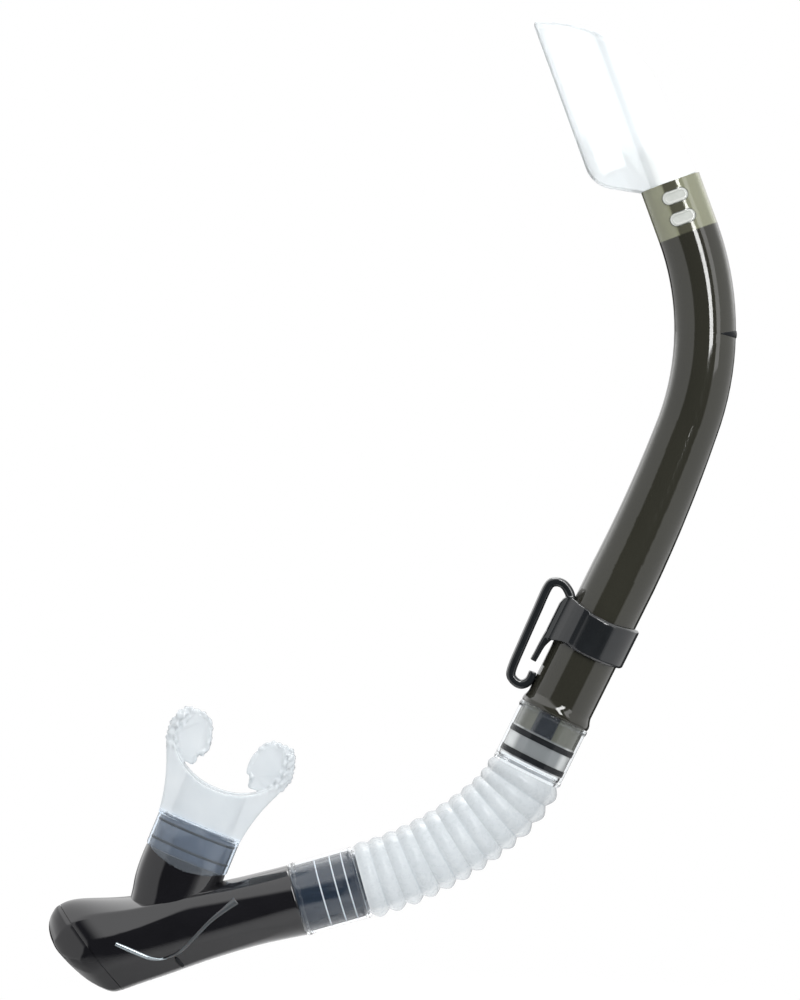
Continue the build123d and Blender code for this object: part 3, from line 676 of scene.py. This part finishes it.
def chamber_ring(section, shrink=0.0, slide=0.0):
    """One section of the chamber: a rounded square cut back by its bevels."""
    top_distance, top_rise, foot_distance, foot_rise, half_depth, squareness, bevel = section
    scale = 1 - shrink / CHAMBER_HALF_HEIGHT
    ring = []
    for i in range(CHAMBER_POINTS):
        angle = 2 * math.pi * i / CHAMBER_POINTS
        share = (signed_power(math.sin(angle), 2 / squareness) + 1) / 2
        depth = signed_power(math.cos(angle), 2 / squareness) * half_depth
        limit = half_depth * bevelled(share, bevel)
        depth = max(-limit, min(limit, depth))
        share = 0.5 + (share - 0.5) * scale
        depth *= scale
        distance = foot_distance + (top_distance - foot_distance) * share + slide
        rise = foot_rise + (top_rise - foot_rise) * share
        ring.append(chamber_point(distance, rise, depth))
    return ring


def mouth_hoop(distance, radius):
    """A circle round the chamber's axis, numbered as chamber_ring numbers its points."""
    ring = []
    for i in range(CHAMBER_POINTS):
        angle = 2 * math.pi * i / CHAMBER_POINTS
        ring.append(chamber_point(distance, radius * math.sin(angle), radius * math.cos(angle)))
    return ring


# The neck from the chamber's axis to the mouthpiece's foot: rise, left edge, right edge, half depth.
NECK_ROWS = [
    (2.0, -16.0, 22.5, 12.8),
    (10.0, -15.8, 20.6, 13.0),
    (17.0, -16.6, 19.4, 13.2),
    (24.0, -18.0, 18.8, 13.5),
    (31.0, -18.6, 18.6, 13.6),
    (38.2, -18.6, 18.6, 13.6),
    (38.9, -18.1, 18.1, 13.1),
]
NECK_DISTANCE = 66.6
NECK_LENGTH = 38.9
NECK_SPIGOT = (16.75, 11.75)
NECK_SPIGOT_LENGTH = 16.0
NECK_BORE = (13.6, 8.6)
NECK_FOOT = chamber_point(NECK_DISTANCE, 0)
MOUTH_FOOT = local(NECK_FOOT, NECK_LEAN, 0, 0, NECK_LENGTH)


def neck_rings():
    """The neck, the spigot on its end and the bore down through both."""
    rings = []
    for rise, left, right, half_depth in smooth_rows(NECK_ROWS, 4):
        centre = local(NECK_FOOT, NECK_LEAN, (left + right) / 2, 0, rise)
        rings.append(hoop(centre, NECK_LEAN, (right - left) / 2, half_depth))
    for rise, size in (
        (0.0, NECK_SPIGOT),
        (NECK_SPIGOT_LENGTH - 0.8, NECK_SPIGOT),
        (NECK_SPIGOT_LENGTH, (15.9, 10.9)),
        (NECK_SPIGOT_LENGTH, (14.2, 9.2)),
        (NECK_SPIGOT_LENGTH - 0.8, NECK_BORE),
        (-NECK_LENGTH + 8, NECK_BORE),
    ):
        rings.append(hoop(local(MOUTH_FOOT, NECK_LEAN, 0, 0, rise), NECK_LEAN, *size))
    return rings


def make_housing(sections):
    """The chamber body: bore, hose spigot, rounded shoulder, the sections up to the seam, and the neck."""
    spigot_end = -CHAMBER_SPIGOT_LENGTH
    rings = [
        mouth_hoop(6, CHAMBER_BORE),
        mouth_hoop(spigot_end + 0.6, CHAMBER_BORE),
        mouth_hoop(spigot_end, CHAMBER_BORE + 0.6),
        mouth_hoop(spigot_end, CHAMBER_SPIGOT - 0.8),
        mouth_hoop(spigot_end + 0.8, CHAMBER_SPIGOT),
        mouth_hoop(0, CHAMBER_SPIGOT),
        mouth_hoop(0, 14.6),
        mouth_hoop(0.15, 15.2),
    ]
    rings.append(chamber_ring(sections[0], slide=SHOULDER_START))
    rings += [chamber_ring(section) for section in sections[1:SEAM_START]]
    rings.append(chamber_ring(sections[SEAM_START], slide=-SEAM_GAP))
    rings.append(chamber_ring(sections[SEAM_START], shrink=SEAM_DEPTH, slide=-SEAM_GAP))
    housing = skin("purge_body", [rings, neck_rings()], capped=True, crease=SEAM_CREASE)
    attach(housing, "purge_chamber")
    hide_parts("purge_housing")
    return housing


def make_cover(sections):
    """The nose cover past the seam, with a tongue that closes the foot of the seam's groove."""
    seam = sections[SEAM_START]
    rings = [
        chamber_ring(seam, shrink=SEAM_DEPTH, slide=-SEAM_GAP - TONGUE_OVERLAP),
        chamber_ring(seam, shrink=SEAM_DEPTH),
    ]
    rings += [chamber_ring(section) for section in sections[SEAM_START:]]
    rings.append(chamber_ring(NOSE_TIP))
    cover = skin("purge_nose", [rings], capped=True, crease=SEAM_CREASE)
    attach(cover, "purge_chamber")
    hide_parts("purge_cover")
    return cover


# The raised strokes on each side, bright and dark: distance, rise and half width.
ACCENT_BRIGHT = [
    (81.3, 4.1, 0.95),
    (77.4, 0.9, 1.05),
    (73.6, -2.2, 1.05),
    (68.6, -6.1, 0.9),
    (64.5, -7.9, 0.55),
    (61.6, -8.4, 0.2),
]
ACCENT_DARK = [
    (63.5, -8.2, 0.2),
    (57.0, -7.6, 0.7),
    (50.7, -4.6, 0.85),
    (39.7, 1.9, 0.95),
    (31.5, 5.5, 1.3),
    (25.6, 7.9, 1.9),
]
# The short mark under the near stroke, in the same measures.
INDEX_MARK = [(58.0, -9.3, 0.5), (57.6, -10.2, 1.0), (56.6, -12.6, 1.05), (56.0, -14.2, 0.7)]
ACCENT_HEIGHT = 1.0
ACCENT_SUNK = 0.25
ACCENT_ARC_STEPS = 8
CLEAR_OF_CHAMBER = 60
SIDES = {"near": -1, "far": 1}


def stroke(name, body, rows, side):
    """A half-round raised line that lies on one side of the chamber."""
    tree = BVHTree.FromObject(body, bpy.context.evaluated_depsgraph_get())
    rows = smooth_rows(rows, 8)
    rings = []
    for i, (distance, rise, half_width) in enumerate(rows):
        direction = direction_at(rows, i)
        ring = []
        for step in range(ACCENT_ARC_STEPS + 1):
            angle = math.pi * step / ACCENT_ARC_STEPS
            sideways = math.cos(angle) * half_width
            past = distance - direction.y * sideways
            above = rise + direction.x * sideways
            start = chamber_point(past, above, CLEAR_OF_CHAMBER * side)
            hit = tree.ray_cast(start, Vector((0, -side, 0)))[0]
            ring.append(hit + Vector((0, side, 0)) * (math.sin(angle) * ACCENT_HEIGHT - ACCENT_SUNK) * MM)
        rings.append(ring)
    piece = skin(name, [rings], capped=True)
    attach(piece, "purge_chamber")
    return piece


chamber_sections = smooth_rows(CHAMBER_SECTIONS, SECTION_STEPS)
housing = make_housing(chamber_sections)
cover = make_cover(chamber_sections)
bright_strokes = [stroke(f"accent_bright_{name}", housing, ACCENT_BRIGHT, SIDES[name]) for name in SIDES]
dark_strokes = [stroke(f"accent_dark_{name}", housing, ACCENT_DARK, SIDES[name]) for name in SIDES]
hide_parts("accent_ribs")
gloss_black().give(housing, cover)
silver().give(*bright_strokes)
moulding("accent_grey", (0.035, 0.039, 0.043), (0.055, 0.060, 0.065), 0.22).give(*dark_strokes)
chamber_mark = stroke("chamber_index_mark", housing, INDEX_MARK, SIDES["near"])


# ---------------------------------------------------------------- mouthpiece

TAB_START = 40.0
TAB_KNOB = 0.55
SCALLOP_DROP = 4.6
SCALLOP_REACH = 9.0
SCALLOP_HALF_WIDTH = 18
# A lip's section: share of its thickness from its middle, and how far it stands out.
LIP_PROFILE = ((-0.5, -0.3), (-0.36, 0.12), (0, 0.25), (0.36, 0.12), (0.5, -0.3))


def ease(value, low, high):
    """Smooth 0 to 1 as value passes from low to high."""
    share = max(0.0, min(1.0, (value - low) / (high - low)))
    return share * share * (3 - 2 * share)


def shape_mouthpiece(piece):
    """Gives the cuff its scalloped foot and the bite tabs their knobs."""
    normals = [vertex.normal.copy() for vertex in piece.data.vertices]
    for vertex, normal in zip(piece.data.vertices, normals):
        offset = (vertex.co - MOUTH_FOOT) / MM
        side = offset.dot(across(NECK_LEAN))
        rise = offset.dot(up(NECK_LEAN))
        knobs = math.sin(rise * 1.45) * math.cos(offset.y * 1.2 + side * 0.9)
        knobs += 0.5 * math.sin(side * 2.1 + rise * 0.7)
        push = TAB_KNOB * knobs * ease(rise, TAB_START, TAB_START + 6) * ease(abs(side - 1), 8, 12)
        arch = max(0.0, 1 - (side / SCALLOP_HALF_WIDTH) ** 2)
        drop = SCALLOP_DROP * (1 - ease(rise, 0, SCALLOP_REACH)) * arch
        vertex.co += normal * push * MM - up(NECK_LEAN) * drop * MM


def lips(name, middles, lean, half_width, half_depth, thickness, replaced):
    """Thin raised lips round a spigot, which the silicone grips."""
    strips = []
    for middle in middles:
        rings = []
        for along, swell in LIP_PROFILE:
            centre = middle + up(lean) * along * thickness * MM
            rings.append(hoop(centre, lean, half_width + swell, half_depth + swell))
        strips.append(rings)
    piece = skin(name, strips)
    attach(piece, "purge_chamber")
    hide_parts(replaced)
    return piece


mouthpiece = softened("mouthpiece", "mouthpiece_silicone", 0.6, 6, kept=0.6)
shape_mouthpiece(mouthpiece)
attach(mouthpiece, "purge_chamber")
frosted_silicone().give(mouthpiece)
mouthpiece.visible_shadow = False
mouth_middles = [local(MOUTH_FOOT, NECK_LEAN, 0, 0, rise) for rise in (4.0, 12.4)]
mouth_lips = lips("mouth_seal_lips", mouth_middles, NECK_LEAN, *NECK_SPIGOT, 1.4, "mouthpiece_spigot_rings")
hose_middles = [chamber_point(-distance, 0) for distance in (11.4, 18.2, 23.4)]
hose_lips = lips(
    "hose_seal_lips", hose_middles, HOSE_FOOT_LEAN, CHAMBER_SPIGOT, CHAMBER_SPIGOT, 0.8, "lower_seal_rings"
)


# ---------------------------------------------------------------- cap and keeper

SLOT_CENTRE = Vector((0, 0, 0))
KEEPER_HALF_DEPTH = 5.5
BAR_POINTS = 24
BARREL_OFFSET = 24.2
# The hook's and the gate's middle lines: across, up, half thickness.
HOOK_LINE = [
    (9.0, 19.0, 2.0),
    (6.4, 22.6, 2.10),
    (2.3, 25.0, 2.05),
    (-1.6, 24.3, 2.05),
    (-3.5, 21.0, 2.05),
    (-3.1, 8.0, 2.05),
    (-2.5, -6.0, 2.05),
    (-1.6, -19.0, 2.05),
    (0.9, -22.3, 2.05),
    (4.9, -22.7, 2.05),
    (7.4, -19.8, 1.95),
    (7.2, -15.4, 1.70),
]
GATE_LINE = [(7.4, 6.0, 3.0), (6.1, 0.8, 2.05), (5.4, -3.0, 1.5), (5.2, -7.0, 1.35), (5.0, -11.0, 1.3)]
# The lug's slices from the hook to the collar: across, foot, top, half depth.
LUG_SLICES = [
    (4.3, 4.0, 17.0, 4.6),
    (5.0, 1.2, 19.5, 5.6),
    (6.2, 0.6, 21.0, 6.1),
    (8.0, 0.6, 21.3, 8.4),
    (10.3, 1.6, 20.8, 11.3),
    (12.1, 2.2, 20.2, 13.1),
    (14.5, 2.5, 19.9, 14.9),
    (17.5, 2.4, 19.4, 15.9),
]
COLLAR_INNER = 15.1
COLLAR_OUTER = 17.3
# The collar's section, round from its foot: radius, and share of the way up.
COLLAR_PROFILE = (
    (COLLAR_OUTER - 1.0, 0),
    (COLLAR_OUTER, 0.05),
    (COLLAR_OUTER, 0.95),
    (COLLAR_OUTER - 1.0, 1),
    (COLLAR_INNER, 1),
    (COLLAR_INNER, 0),
)


def keeper_point(right, depth, rise):
    """A point in the keeper's leaning axes, from the middle of its slot."""
    return local(SLOT_CENTRE, BARREL_LEAN, right, depth, rise)


def bar(line):
    """Rings of a flat rounded bar along a line in the keeper's plane."""
    rows = smooth_rows(line, 6)
    rings = []
    for i, (right, rise, half) in enumerate(rows):
        direction = direction_at(rows, i)
        ring = []
        for step in range(BAR_POINTS):
            angle = 2 * math.pi * step / BAR_POINTS
            sideways = half * signed_power(math.cos(angle), 0.6)
            depth = KEEPER_HALF_DEPTH * signed_power(math.sin(angle), 0.3)
            ring.append(keeper_point(right - direction.y * sideways, depth, rise + direction.x * sideways))
        rings.append(ring)
    return rings


def clear_bore(piece):
    """Moves what lies inside the collar's bore out to its wall, so that the keeper slides on the barrel."""
    for vertex in piece.data.vertices:
        offset = (vertex.co - SLOT_CENTRE) / MM
        right = offset.dot(across(BARREL_LEAN)) - BARREL_OFFSET
        reach = math.hypot(right, offset.y)
        if reach < COLLAR_INNER:
            stretch = COLLAR_INNER / reach
            rise = offset.dot(up(BARREL_LEAN))
            vertex.co = keeper_point(BARREL_OFFSET + right * stretch, offset.y * stretch, rise)


def collar_ring(radius, share):
    """One ring of the collar, whose foot and top are higher at its left and right."""
    ring = []
    for i in range(HOOP_POINTS):
        angle = 2 * math.pi * i / HOOP_POINTS
        curl = math.cos(angle) ** 2
        rise = (1.0 + 1.6 * curl) * (1 - share) + (18.9 + 2.4 * curl) * share
        right = BARREL_OFFSET + radius * math.cos(angle)
        ring.append(keeper_point(right, radius * math.sin(angle), rise))
    return ring


def make_keeper():
    """The strap hook, its springy gate, the lug and the collar round the barrel, moulded as one."""
    lug = []
    for right, foot, top, half_depth in LUG_SLICES:
        corners = ((-half_depth, foot), (half_depth, foot), (half_depth, top), (-half_depth, top))
        lug.append([keeper_point(right, depth, rise) for depth, rise in corners])
    solid = skin("keeper_bars", [bar(HOOK_LINE), bar(GATE_LINE), lug], capped=True)
    profile = [collar_ring(radius, share) for radius, share in COLLAR_PROFILE]
    collar = skin("keeper_collar", [[*profile, profile[0]]])
    keeper = fuse("strap_keeper_moulding", [solid.data, collar.data], 0.32, 5)
    bpy.data.objects.remove(solid)
    bpy.data.objects.remove(collar)
    clear_bore(keeper)
    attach(keeper, "keeper")
    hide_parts("strap_keeper")
    return keeper


cap = softened("dry_top_housing", "dry_top_shell", 0.45, 6)
cap.visible_shadow = False
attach(cap, "barrel")
cap_plastic().give(cap)

keeper = make_keeper()
keeper_black().give(keeper)


# ---------------------------------------------------------------- foot lip, barrel mark and window bosses


def make_foot_bead():
    """The rounded lip round the barrel's foot."""
    profile = [(0.05, 14.3), (0.05, 15.4), (0.5, 15.95), (1.4, 16.1), (2.6, 15.9), (4.2, 15.3), (6.0, 14.9)]
    rings = []
    for rise, radius in smooth_rows(profile, 3):
        rings.append(hoop(local(BARREL_FOOT, BARREL_LEAN, 0, 0, rise), BARREL_LEAN, radius))
    bead = skin("barrel_foot_lip", [rings])
    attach(bead, "barrel")
    return bead


MAIN_BEND_RADIUS = 124.7
TOP_STRAIGHT = 23.0
TOP_HALF_WIDTH = 13.6
TOP_HALF_DEPTH = 12.0
MARK_LEAN = 1.1
MARK_SWEEP = 62.0
MARK_STEPS = 10
MARK_POINTS = 12
MARK_RAISED = 0.35
MARK_HALF_HEIGHT = 1.5


def make_barrel_mark():
    """A short dark bar that wraps round the outside of the barrel's main bend."""
    crown = local(BARREL_TOP, TOP_LEAN, 0, 0, -TOP_STRAIGHT)
    centre = crown + (across(MARK_LEAN) - across(TOP_LEAN)) * MAIN_BEND_RADIUS * MM
    rings = []
    for step in range(-MARK_STEPS, MARK_STEPS + 1):
        angle = math.radians(MARK_SWEEP * step / MARK_STEPS)
        size = 1.1 - abs(step / MARK_STEPS) ** 2
        ring = []
        for turn in range(MARK_POINTS):
            way = 2 * math.pi * turn / MARK_POINTS
            out = MARK_RAISED * math.cos(way) * size
            right = (TOP_HALF_WIDTH + out) * math.cos(angle)
            depth = (TOP_HALF_DEPTH + out) * math.sin(angle)
            rise = MARK_HALF_HEIGHT * math.sin(way) * size
            ring.append(local(centre, MARK_LEAN, right, depth, rise))
        rings.append(ring)
    return skin("barrel_index_mark", [rings], capped=True)


WINDOW_OFFSET = -0.7
WINDOW_DROPS = (6.8, 16.7)
BOSS_HALF_LENGTH = 5.7
BOSS_HALF_WIDTH = 2.85
# A boss's rings, from its foot over its rim to its dished face: share of its outline, and depth.
BOSS_RINGS = [
    (1.0, 10.4),
    (1.0, 11.5),
    (0.94, 12.0),
    (0.84, 12.2),
    (0.72, 12.1),
    (0.6, 11.75),
    (0.5, 11.6),
    (0.05, 11.55),
]
BOSS_POINTS = 48


def make_boss(name, drop, side):
    """An oval boss with a rounded rim and a dished face, which fills one of the collar's windows."""
    rings = []
    for share, depth in BOSS_RINGS:
        straight = (BOSS_HALF_LENGTH - BOSS_HALF_WIDTH) * (0.4 + 0.6 * share)
        ring = []
        for i in range(BOSS_POINTS):
            angle = 2 * math.pi * i / BOSS_POINTS
            right = math.copysign(straight, math.cos(angle)) + BOSS_HALF_WIDTH * share * math.cos(angle)
            rise = BOSS_HALF_WIDTH * share * math.sin(angle)
            bow = (right / TOP_HALF_WIDTH) ** 2 * TOP_HALF_DEPTH / 2
            place = (WINDOW_OFFSET + right, side * (depth - bow), rise - drop)
            ring.append(local(BARREL_TOP, TOP_LEAN, *place))
        rings.append(ring)
    return skin(name, [rings], capped=True)


foot_lip = make_foot_bead()
barrel_mark = make_barrel_mark()
bosses = []
for row, drop in enumerate(WINDOW_DROPS, 1):
    for name, side in SIDES.items():
        bosses.append(make_boss(f"window_boss_{name}_{row}", drop, side))
for piece in (barrel_mark, *bosses):
    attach(piece, "barrel")


# ---------------------------------------------------------------- CAD nodes that stay

smoke_plastic().give("barrel_tube", foot_lip)
rubber().give(barrel_mark, chamber_mark)
clear_plastic().give("valve_seat_stem", *bosses)
ground_steel().give("lever_pivot_pin")
moulding("lever_white", (0.76, 0.77, 0.77), (0.84, 0.85, 0.85), 0.38).give("float_lever")
moulding("valve_silicone", (0.70, 0.73, 0.76), (0.80, 0.82, 0.84), 0.5).give("valve_seal")
moulding("float_white", (0.80, 0.80, 0.77), (0.88, 0.88, 0.86), 0.45).give("float_body")
rubber().give("upper_seal_rings", mouth_lips)
moulding("pale_seal_silicone", (0.36, 0.40, 0.44), (0.55, 0.59, 0.63), 0.25).give(hose_lips)
moulding("seat_black", (0.03, 0.03, 0.034), (0.06, 0.06, 0.066), 0.42).give("purge_valve_seat")
moulding("diaphragm_silicone", (0.66, 0.68, 0.70), (0.76, 0.78, 0.80), 0.5).give("purge_diaphragm")


# ---------------------------------------------------------------- studio

# The studio's sizes are in metres.
FLOOR_RADIUS = 0.24
FLOOR_GAP = 0.012
FLOOR_POINTS = 64
CAMERA_DISTANCE = 2.5
PICTURE_HEIGHT = 0.44

def make_world():
    """A white studio. Gloss reflects a dark room whose ceiling, sides and far wall are bright instead."""
    world = bpy.data.worlds.new("studio")
    bpy.context.scene.world = world
    world.use_nodes = True
    world.cycles.sampling_method = "NONE"
    tree = world.node_tree
    background = tree.nodes["Background"]

    def value(kind, first, second):
        made = tree.nodes.new("ShaderNodeMath")
        made.operation = kind
        plug(tree, made.inputs[0], first)
        plug(tree, made.inputs[1], second)
        return made.outputs["Value"]

    def glow(direction, low, high, strength):
        """A smooth patch of light where the direction's component passes from low to high."""
        made = tree.nodes.new("ShaderNodeMapRange")
        made.interpolation_type = "SMOOTHSTEP"
        made.inputs["From Min"].default_value = low
        made.inputs["From Max"].default_value = high
        made.inputs["To Max"].default_value = strength
        tree.links.new(direction, made.inputs["Value"])
        return made.outputs["Result"]

    split = tree.nodes.new("ShaderNodeSeparateXYZ")
    tree.links.new(tree.nodes.new("ShaderNodeTexCoord").outputs["Generated"], split.inputs["Vector"])
    height = split.outputs["Z"]
    sideways = value("ABSOLUTE", split.outputs["X"], 0)
    room = value("ADD", glow(height, 0.5, 0.7, 1.7), glow(value("MULTIPLY", height, -1), 0.62, 0.7, 0.26))
    sides = value("MULTIPLY", glow(sideways, 0.56, 0.64, 0.9), glow(height, -0.68, -0.48, 1.0))
    room = value("MAXIMUM", room, sides)
    behind = value("MULTIPLY", glow(split.outputs["Y"], 0.1, 0.8, 1.2), glow(height, -0.05, 0.15, 1.0))
    room = value("ADD", value("ADD", room, behind), 0.03)
    path = tree.nodes.new("ShaderNodeLightPath")
    mirrored = value("MINIMUM", path.outputs["Glossy Depth"], 1.0)
    plain = value("SUBTRACT", 1.0, value("MULTIPLY", path.outputs["Is Diffuse Ray"], 0.2))
    direct = value("MULTIPLY", value("SUBTRACT", 1.0, mirrored), plain)
    strength = value("ADD", value("MULTIPLY", mirrored, room), direct)
    tree.links.new(strength, background.inputs["Strength"])
    background.inputs["Color"].default_value = (1, 1, 1, 1)


def softbox(name, azimuth, elevation, distance, size, radiance, mirrored=True):
    """A rectangular light that faces the object. It shows only in gloss, and only where mirrored."""
    data = bpy.data.lights.new(name, "AREA")
    data.shape = "RECTANGLE"
    data.size, data.size_y = size
    data.energy = radiance * size[0] * size[1] * math.pi
    light = bpy.data.objects.new(name, data)
    bpy.context.scene.collection.objects.link(light)
    turn = math.radians(azimuth)
    tilt = math.radians(elevation)
    away = Vector((math.sin(turn) * math.cos(tilt), -math.cos(turn) * math.cos(tilt), math.sin(tilt)))
    light.location = MIDDLE + away * distance
    light.rotation_euler = away.to_track_quat("Z", "Y").to_euler()
    light.visible_camera = False
    light.visible_transmission = False
    light.visible_glossy = mirrored


def make_floor():
    """A pale round floor whose edge fades out."""
    centre = Vector((MIDDLE.x, MIDDLE.y, LOW.z - FLOOR_GAP))
    rings = []
    for share in (0.02, 0.25, 0.5, 0.75, 1.0):
        ring = []
        for i in range(FLOOR_POINTS):
            angle = 2 * math.pi * i / FLOOR_POINTS
            ring.append(centre + Vector((math.cos(angle), math.sin(angle), 0)) * FLOOR_RADIUS * share)
        rings.append(ring)
    floor = skin("floor", [rings])
    finish = Finish("floor_pale", 0.7)
    speck = finish.noise(3, detail=4)
    finish.use(Base_Color=finish.colour(speck, (0.93, 0.93, 0.93), (0.97, 0.97, 0.97)))
    finish.bump(speck, 0.05)
    offset = finish.node("ShaderNodeVectorMath", operation="DISTANCE")
    finish.tree.links.new(finish.place, offset.inputs[0])
    offset.inputs[1].default_value = centre
    fade = finish.span(offset.outputs["Value"], FLOOR_RADIUS * 0.35, FLOOR_RADIUS * 0.98, 0.6, 0.0)
    finish.use(Alpha=fade)
    finish.give(floor)


def make_camera():
    """Straight on from -Y, with the long side of the picture covering 440 mm at the object's plane."""
    data = bpy.data.cameras.new("camera")
    data.sensor_width = 36
    data.lens = data.sensor_width * CAMERA_DISTANCE / PICTURE_HEIGHT
    camera = bpy.data.objects.new("camera", data)
    bpy.context.scene.collection.objects.link(camera)
    camera.location = (-0.0589, -CAMERA_DISTANCE, 0.0585)
    camera.rotation_euler = (math.radians(90), 0, 0)
    bpy.context.scene.camera = camera


make_world()
softbox("key", -38, 42, 1.3, (0.7, 0.5), 2.2, mirrored=False)
softbox("fill", 48, 20, 1.5, (0.35, 1.2), 1.6)
softbox("strip_right", 24, 26, 1.5, (0.3, 1.3), 14.0)
softbox("back_top", 172, 68, 1.3, (0.5, 0.5), 9.0)
make_floor()
make_camera()
bpy.context.scene.view_settings.view_transform = "Standard"
